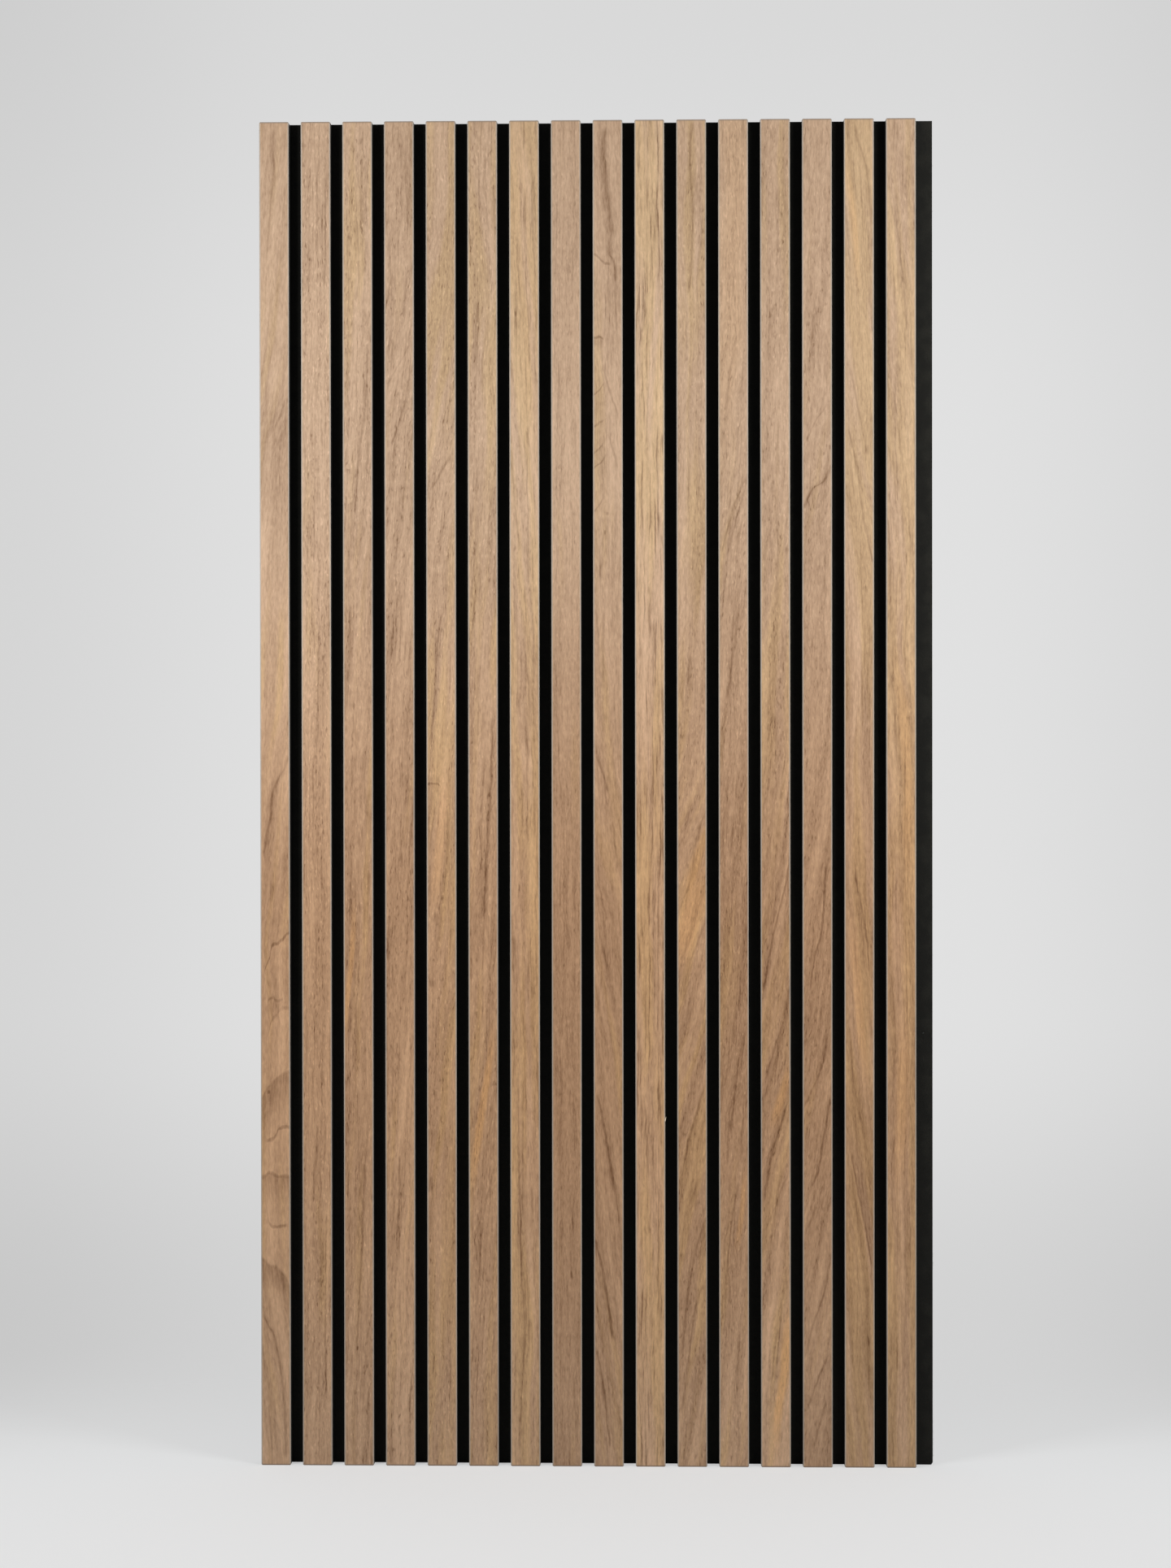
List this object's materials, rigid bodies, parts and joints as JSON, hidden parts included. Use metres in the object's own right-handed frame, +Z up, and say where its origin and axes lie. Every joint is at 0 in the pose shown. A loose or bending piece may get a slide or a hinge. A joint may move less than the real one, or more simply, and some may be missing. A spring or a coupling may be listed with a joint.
{
  "type": "acoustic panel",
  "caption": "Slatted acoustic wall panel: upright walnut-veneered slats, black on their sides, side by side on a black felt board with a bare strip at one edge.",
  "frame": {"origin": "foot of the panel, in the middle of its width and of its thickness", "axes": "+X across the panel towards the bare felt strip, +Y back towards the wall, +Z up along the slats"},
  "size_m": [0.6, 0.021, 1.2],
  "materials": {
    "felt": "needled felt",
    "mdf": "black, matt",
    "veneer": "open-pored, matt",
    "staple": "galvanised"
  },
  "bodies": {
    "root": {"felt_backing": "felt", "slat_core_01": "mdf", "slat_core_02": "mdf", "slat_core_03": "mdf", "slat_core_04": "mdf", "slat_core_05": "mdf", "slat_core_06": "mdf", "slat_core_07": "mdf", "slat_core_08": "mdf", "slat_core_09": "mdf", "slat_core_10": "mdf", "slat_core_11": "mdf", "slat_core_12": "mdf", "slat_core_13": "mdf", "slat_core_14": "mdf", "slat_core_15": "mdf", "slat_core_16": "mdf", "slat_veneer_01": "veneer", "slat_veneer_02": "veneer", "slat_veneer_03": "veneer", "slat_veneer_04": "veneer", "slat_veneer_05": "veneer", "slat_veneer_06": "veneer", "slat_veneer_07": "veneer", "slat_veneer_08": "veneer", "slat_veneer_09": "veneer", "slat_veneer_10": "veneer", "slat_veneer_11": "veneer", "slat_veneer_12": "veneer", "slat_veneer_13": "veneer", "slat_veneer_14": "veneer", "slat_veneer_15": "veneer", "slat_veneer_16": "veneer", "staples": "staple"}
  },
  "joints": []
}
